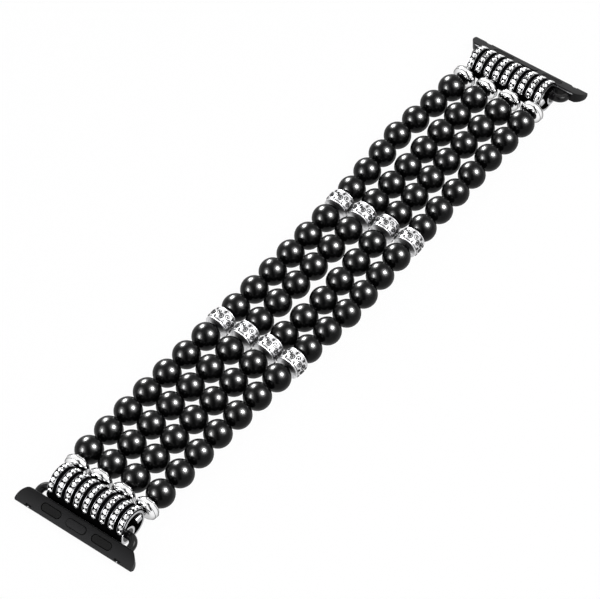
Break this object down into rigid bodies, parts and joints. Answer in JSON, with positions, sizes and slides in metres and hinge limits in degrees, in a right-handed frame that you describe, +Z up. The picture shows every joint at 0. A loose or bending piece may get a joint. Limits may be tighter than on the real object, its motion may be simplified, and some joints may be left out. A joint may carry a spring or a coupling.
{
  "type": "bead watch band",
  "caption": "Flexible watch band of round black beads on elastic cords, with engraved barrel spacers, bright rondelles, crystal-set end connectors and hinged slide-in case adapters.",
  "frame": {"origin": "middle of the band's length and width, on the surface that it lies on", "axes": "+X along the band from the near adapter to the far one, +Y across it, +Z up through the crystal side"},
  "size_m": [0.1628, 0.031, 0.0075],
  "materials": {
    "black_bead": "polished black stone bead, high gloss",
    "engraved_silver": "bright silver tone with dark engraved scrolls",
    "bright_chrome": "mirror bright",
    "polished_silver": "polished silver tone",
    "clear_crystal": "clear faceted crystal, foiled back",
    "black_enamel": "black enamel",
    "elastic_cord": "black elastic cord",
    "crimp_steel": "plain",
    "bar_steel": "glossy black",
    "spring_steel": "plain",
    "satin_black": "satin black",
    "black_pad": "matt black"
  },
  "bodies": {
    "near_rondelle_row": {"near_rondelle_row": "bright_chrome"},
    "bead_row_01": {"bead_row_01": "black_bead"},
    "bead_row_02": {"bead_row_02": "black_bead"},
    "bead_row_03": {"bead_row_03": "black_bead"},
    "bead_row_04": {"bead_row_04": "black_bead"},
    "bead_row_05": {"bead_row_05": "black_bead"},
    "bead_row_06": {"bead_row_06": "black_bead"},
    "bead_row_07": {"bead_row_07": "black_bead"},
    "near_spacer_row": {"near_spacer_row": "engraved_silver"},
    "bead_row_08": {"bead_row_08": "black_bead"},
    "bead_row_09": {"bead_row_09": "black_bead"},
    "bead_row_10": {"bead_row_10": "black_bead", "elastic_cord_1": "elastic_cord", "elastic_cord_2": "elastic_cord", "elastic_cord_3": "elastic_cord", "elastic_cord_4": "elastic_cord"},
    "bead_row_11": {"bead_row_11": "black_bead"},
    "bead_row_12": {"bead_row_12": "black_bead"},
    "bead_row_13": {"bead_row_13": "black_bead"},
    "far_spacer_row": {"far_spacer_row": "engraved_silver"},
    "bead_row_14": {"bead_row_14": "black_bead"},
    "bead_row_15": {"bead_row_15": "black_bead"},
    "bead_row_16": {"bead_row_16": "black_bead"},
    "bead_row_17": {"bead_row_17": "black_bead"},
    "bead_row_18": {"bead_row_18": "black_bead"},
    "bead_row_19": {"bead_row_19": "black_bead"},
    "bead_row_20": {"bead_row_20": "black_bead"},
    "far_rondelle_row": {"far_rondelle_row": "bright_chrome"},
    "near_connector": {"near_connector_shell": "polished_silver", "near_crystal_settings": "polished_silver", "near_crystals": "clear_crystal", "near_enamel_strips": "black_enamel", "near_cord_crimps": "crimp_steel"},
    "near_adapter": {"near_adapter": "satin_black", "near_adapter_pads": "black_pad", "near_hinge_bar": "bar_steel", "near_latch_spring": "spring_steel"},
    "near_latch": {"near_latch_button": "satin_black"},
    "far_connector": {"far_connector_shell": "polished_silver", "far_crystal_settings": "polished_silver", "far_crystals": "clear_crystal", "far_enamel_strips": "black_enamel", "far_cord_crimps": "crimp_steel"},
    "far_adapter": {"far_adapter": "satin_black", "far_adapter_pads": "black_pad", "far_hinge_bar": "bar_steel", "far_latch_spring": "spring_steel"},
    "far_latch": {"far_latch_button": "satin_black"}
  },
  "joints": [
    {"name": "flex_bead_row_11", "type": "hinge", "parent": "bead_row_10", "child": "bead_row_11", "pos_m": [0, 0, 0.0031], "axis": [0, 1, 0], "range_deg": [-10, 12], "stiffness_Nm_per_rad": 0.001, "deforming": ["elastic_cord_1", "elastic_cord_2", "elastic_cord_3", "elastic_cord_4"]},
    {"name": "flex_bead_row_12", "type": "hinge", "parent": "bead_row_11", "child": "bead_row_12", "pos_m": [0.0063, 0, 0.0031], "axis": [0, 1, 0], "range_deg": [-10, 12], "stiffness_Nm_per_rad": 0.001},
    {"name": "flex_bead_row_13", "type": "hinge", "parent": "bead_row_12", "child": "bead_row_13", "pos_m": [0.0126, 0, 0.0031], "axis": [0, 1, 0], "range_deg": [-10, 12], "stiffness_Nm_per_rad": 0.001},
    {"name": "flex_far_spacer_row", "type": "hinge", "parent": "bead_row_13", "child": "far_spacer_row", "pos_m": [0.0189, 0, 0.0031], "axis": [0, 1, 0], "range_deg": [-10, 12], "stiffness_Nm_per_rad": 0.001},
    {"name": "flex_bead_row_14", "type": "hinge", "parent": "far_spacer_row", "child": "bead_row_14", "pos_m": [0.02263, 0, 0.0031], "axis": [0, 1, 0], "range_deg": [-10, 12], "stiffness_Nm_per_rad": 0.001},
    {"name": "flex_bead_row_15", "type": "hinge", "parent": "bead_row_14", "child": "bead_row_15", "pos_m": [0.02893, 0, 0.0031], "axis": [0, 1, 0], "range_deg": [-10, 12], "stiffness_Nm_per_rad": 0.001},
    {"name": "flex_bead_row_16", "type": "hinge", "parent": "bead_row_15", "child": "bead_row_16", "pos_m": [0.03523, 0, 0.0031], "axis": [0, 1, 0], "range_deg": [-10, 12], "stiffness_Nm_per_rad": 0.001},
    {"name": "flex_bead_row_17", "type": "hinge", "parent": "bead_row_16", "child": "bead_row_17", "pos_m": [0.04153, 0, 0.0031], "axis": [0, 1, 0], "range_deg": [-10, 12], "stiffness_Nm_per_rad": 0.001},
    {"name": "flex_bead_row_18", "type": "hinge", "parent": "bead_row_17", "child": "bead_row_18", "pos_m": [0.04783, 0, 0.0031], "axis": [0, 1, 0], "range_deg": [-10, 12], "stiffness_Nm_per_rad": 0.001},
    {"name": "flex_bead_row_19", "type": "hinge", "parent": "bead_row_18", "child": "bead_row_19", "pos_m": [0.05413, 0, 0.0031], "axis": [0, 1, 0], "range_deg": [-10, 12], "stiffness_Nm_per_rad": 0.001},
    {"name": "flex_bead_row_20", "type": "hinge", "parent": "bead_row_19", "child": "bead_row_20", "pos_m": [0.06043, 0, 0.0031], "axis": [0, 1, 0], "range_deg": [-10, 12], "stiffness_Nm_per_rad": 0.001},
    {"name": "flex_far_rondelle_row", "type": "hinge", "parent": "bead_row_20", "child": "far_rondelle_row", "pos_m": [0.06673, 0, 0.0031], "axis": [0, 1, 0], "range_deg": [-10, 12], "stiffness_Nm_per_rad": 0.001},
    {"name": "flex_bead_row_09", "type": "hinge", "parent": "bead_row_10", "child": "bead_row_09", "pos_m": [-0.0063, 0, 0.0031], "axis": [0, -1, 0], "range_deg": [-10, 12], "stiffness_Nm_per_rad": 0.001},
    {"name": "flex_bead_row_08", "type": "hinge", "parent": "bead_row_09", "child": "bead_row_08", "pos_m": [-0.0126, 0, 0.0031], "axis": [0, -1, 0], "range_deg": [-10, 12], "stiffness_Nm_per_rad": 0.001},
    {"name": "flex_near_spacer_row", "type": "hinge", "parent": "bead_row_08", "child": "near_spacer_row", "pos_m": [-0.0189, 0, 0.0031], "axis": [0, -1, 0], "range_deg": [-10, 12], "stiffness_Nm_per_rad": 0.001},
    {"name": "flex_bead_row_07", "type": "hinge", "parent": "near_spacer_row", "child": "bead_row_07", "pos_m": [-0.02263, 0, 0.0031], "axis": [0, -1, 0], "range_deg": [-10, 12], "stiffness_Nm_per_rad": 0.001},
    {"name": "flex_bead_row_06", "type": "hinge", "parent": "bead_row_07", "child": "bead_row_06", "pos_m": [-0.02893, 0, 0.0031], "axis": [0, -1, 0], "range_deg": [-10, 12], "stiffness_Nm_per_rad": 0.001},
    {"name": "flex_bead_row_05", "type": "hinge", "parent": "bead_row_06", "child": "bead_row_05", "pos_m": [-0.03523, 0, 0.0031], "axis": [0, -1, 0], "range_deg": [-10, 12], "stiffness_Nm_per_rad": 0.001},
    {"name": "flex_bead_row_04", "type": "hinge", "parent": "bead_row_05", "child": "bead_row_04", "pos_m": [-0.04153, 0, 0.0031], "axis": [0, -1, 0], "range_deg": [-10, 12], "stiffness_Nm_per_rad": 0.001},
    {"name": "flex_bead_row_03", "type": "hinge", "parent": "bead_row_04", "child": "bead_row_03", "pos_m": [-0.04783, 0, 0.0031], "axis": [0, -1, 0], "range_deg": [-10, 12], "stiffness_Nm_per_rad": 0.001},
    {"name": "flex_bead_row_02", "type": "hinge", "parent": "bead_row_03", "child": "bead_row_02", "pos_m": [-0.05413, 0, 0.0031], "axis": [0, -1, 0], "range_deg": [-10, 12], "stiffness_Nm_per_rad": 0.001},
    {"name": "flex_bead_row_01", "type": "hinge", "parent": "bead_row_02", "child": "bead_row_01", "pos_m": [-0.06043, 0, 0.0031], "axis": [0, -1, 0], "range_deg": [-10, 12], "stiffness_Nm_per_rad": 0.001},
    {"name": "flex_near_rondelle_row", "type": "hinge", "parent": "bead_row_01", "child": "near_rondelle_row", "pos_m": [-0.06673, 0, 0.0031], "axis": [0, -1, 0], "range_deg": [-10, 12], "stiffness_Nm_per_rad": 0.001},
    {"name": "flex_near_connector", "type": "hinge", "parent": "near_rondelle_row", "child": "near_connector", "pos_m": [-0.06961, 0, 0.0031], "axis": [0, -1, 0], "range_deg": [-8, 12], "stiffness_Nm_per_rad": 0.001},
    {"name": "near_bar_hinge", "type": "hinge", "parent": "near_connector", "child": "near_adapter", "pos_m": [-0.07522, 0, 0.0024], "axis": [0, -1, 0], "range_deg": [-25, 55]},
    {"name": "near_latch_press", "type": "slide", "parent": "near_adapter", "child": "near_latch", "axis": [0.4789, 0, -0.8779], "range_m": [0, 0.0005], "stiffness_N_per_m": 300, "deforming": ["near_latch_spring"]},
    {"name": "flex_far_connector", "type": "hinge", "parent": "far_rondelle_row", "child": "far_connector", "pos_m": [0.06961, 0, 0.0031], "axis": [0, 1, 0], "range_deg": [-8, 12], "stiffness_Nm_per_rad": 0.001},
    {"name": "far_bar_hinge", "type": "hinge", "parent": "far_connector", "child": "far_adapter", "pos_m": [0.07522, 0, 0.0024], "axis": [0, 1, 0], "range_deg": [-25, 55]},
    {"name": "far_latch_press", "type": "slide", "parent": "far_adapter", "child": "far_latch", "axis": [-0.4789, 0, -0.8779], "range_m": [0, 0.0005], "stiffness_N_per_m": 300, "deforming": ["far_latch_spring"]}
  ]
}
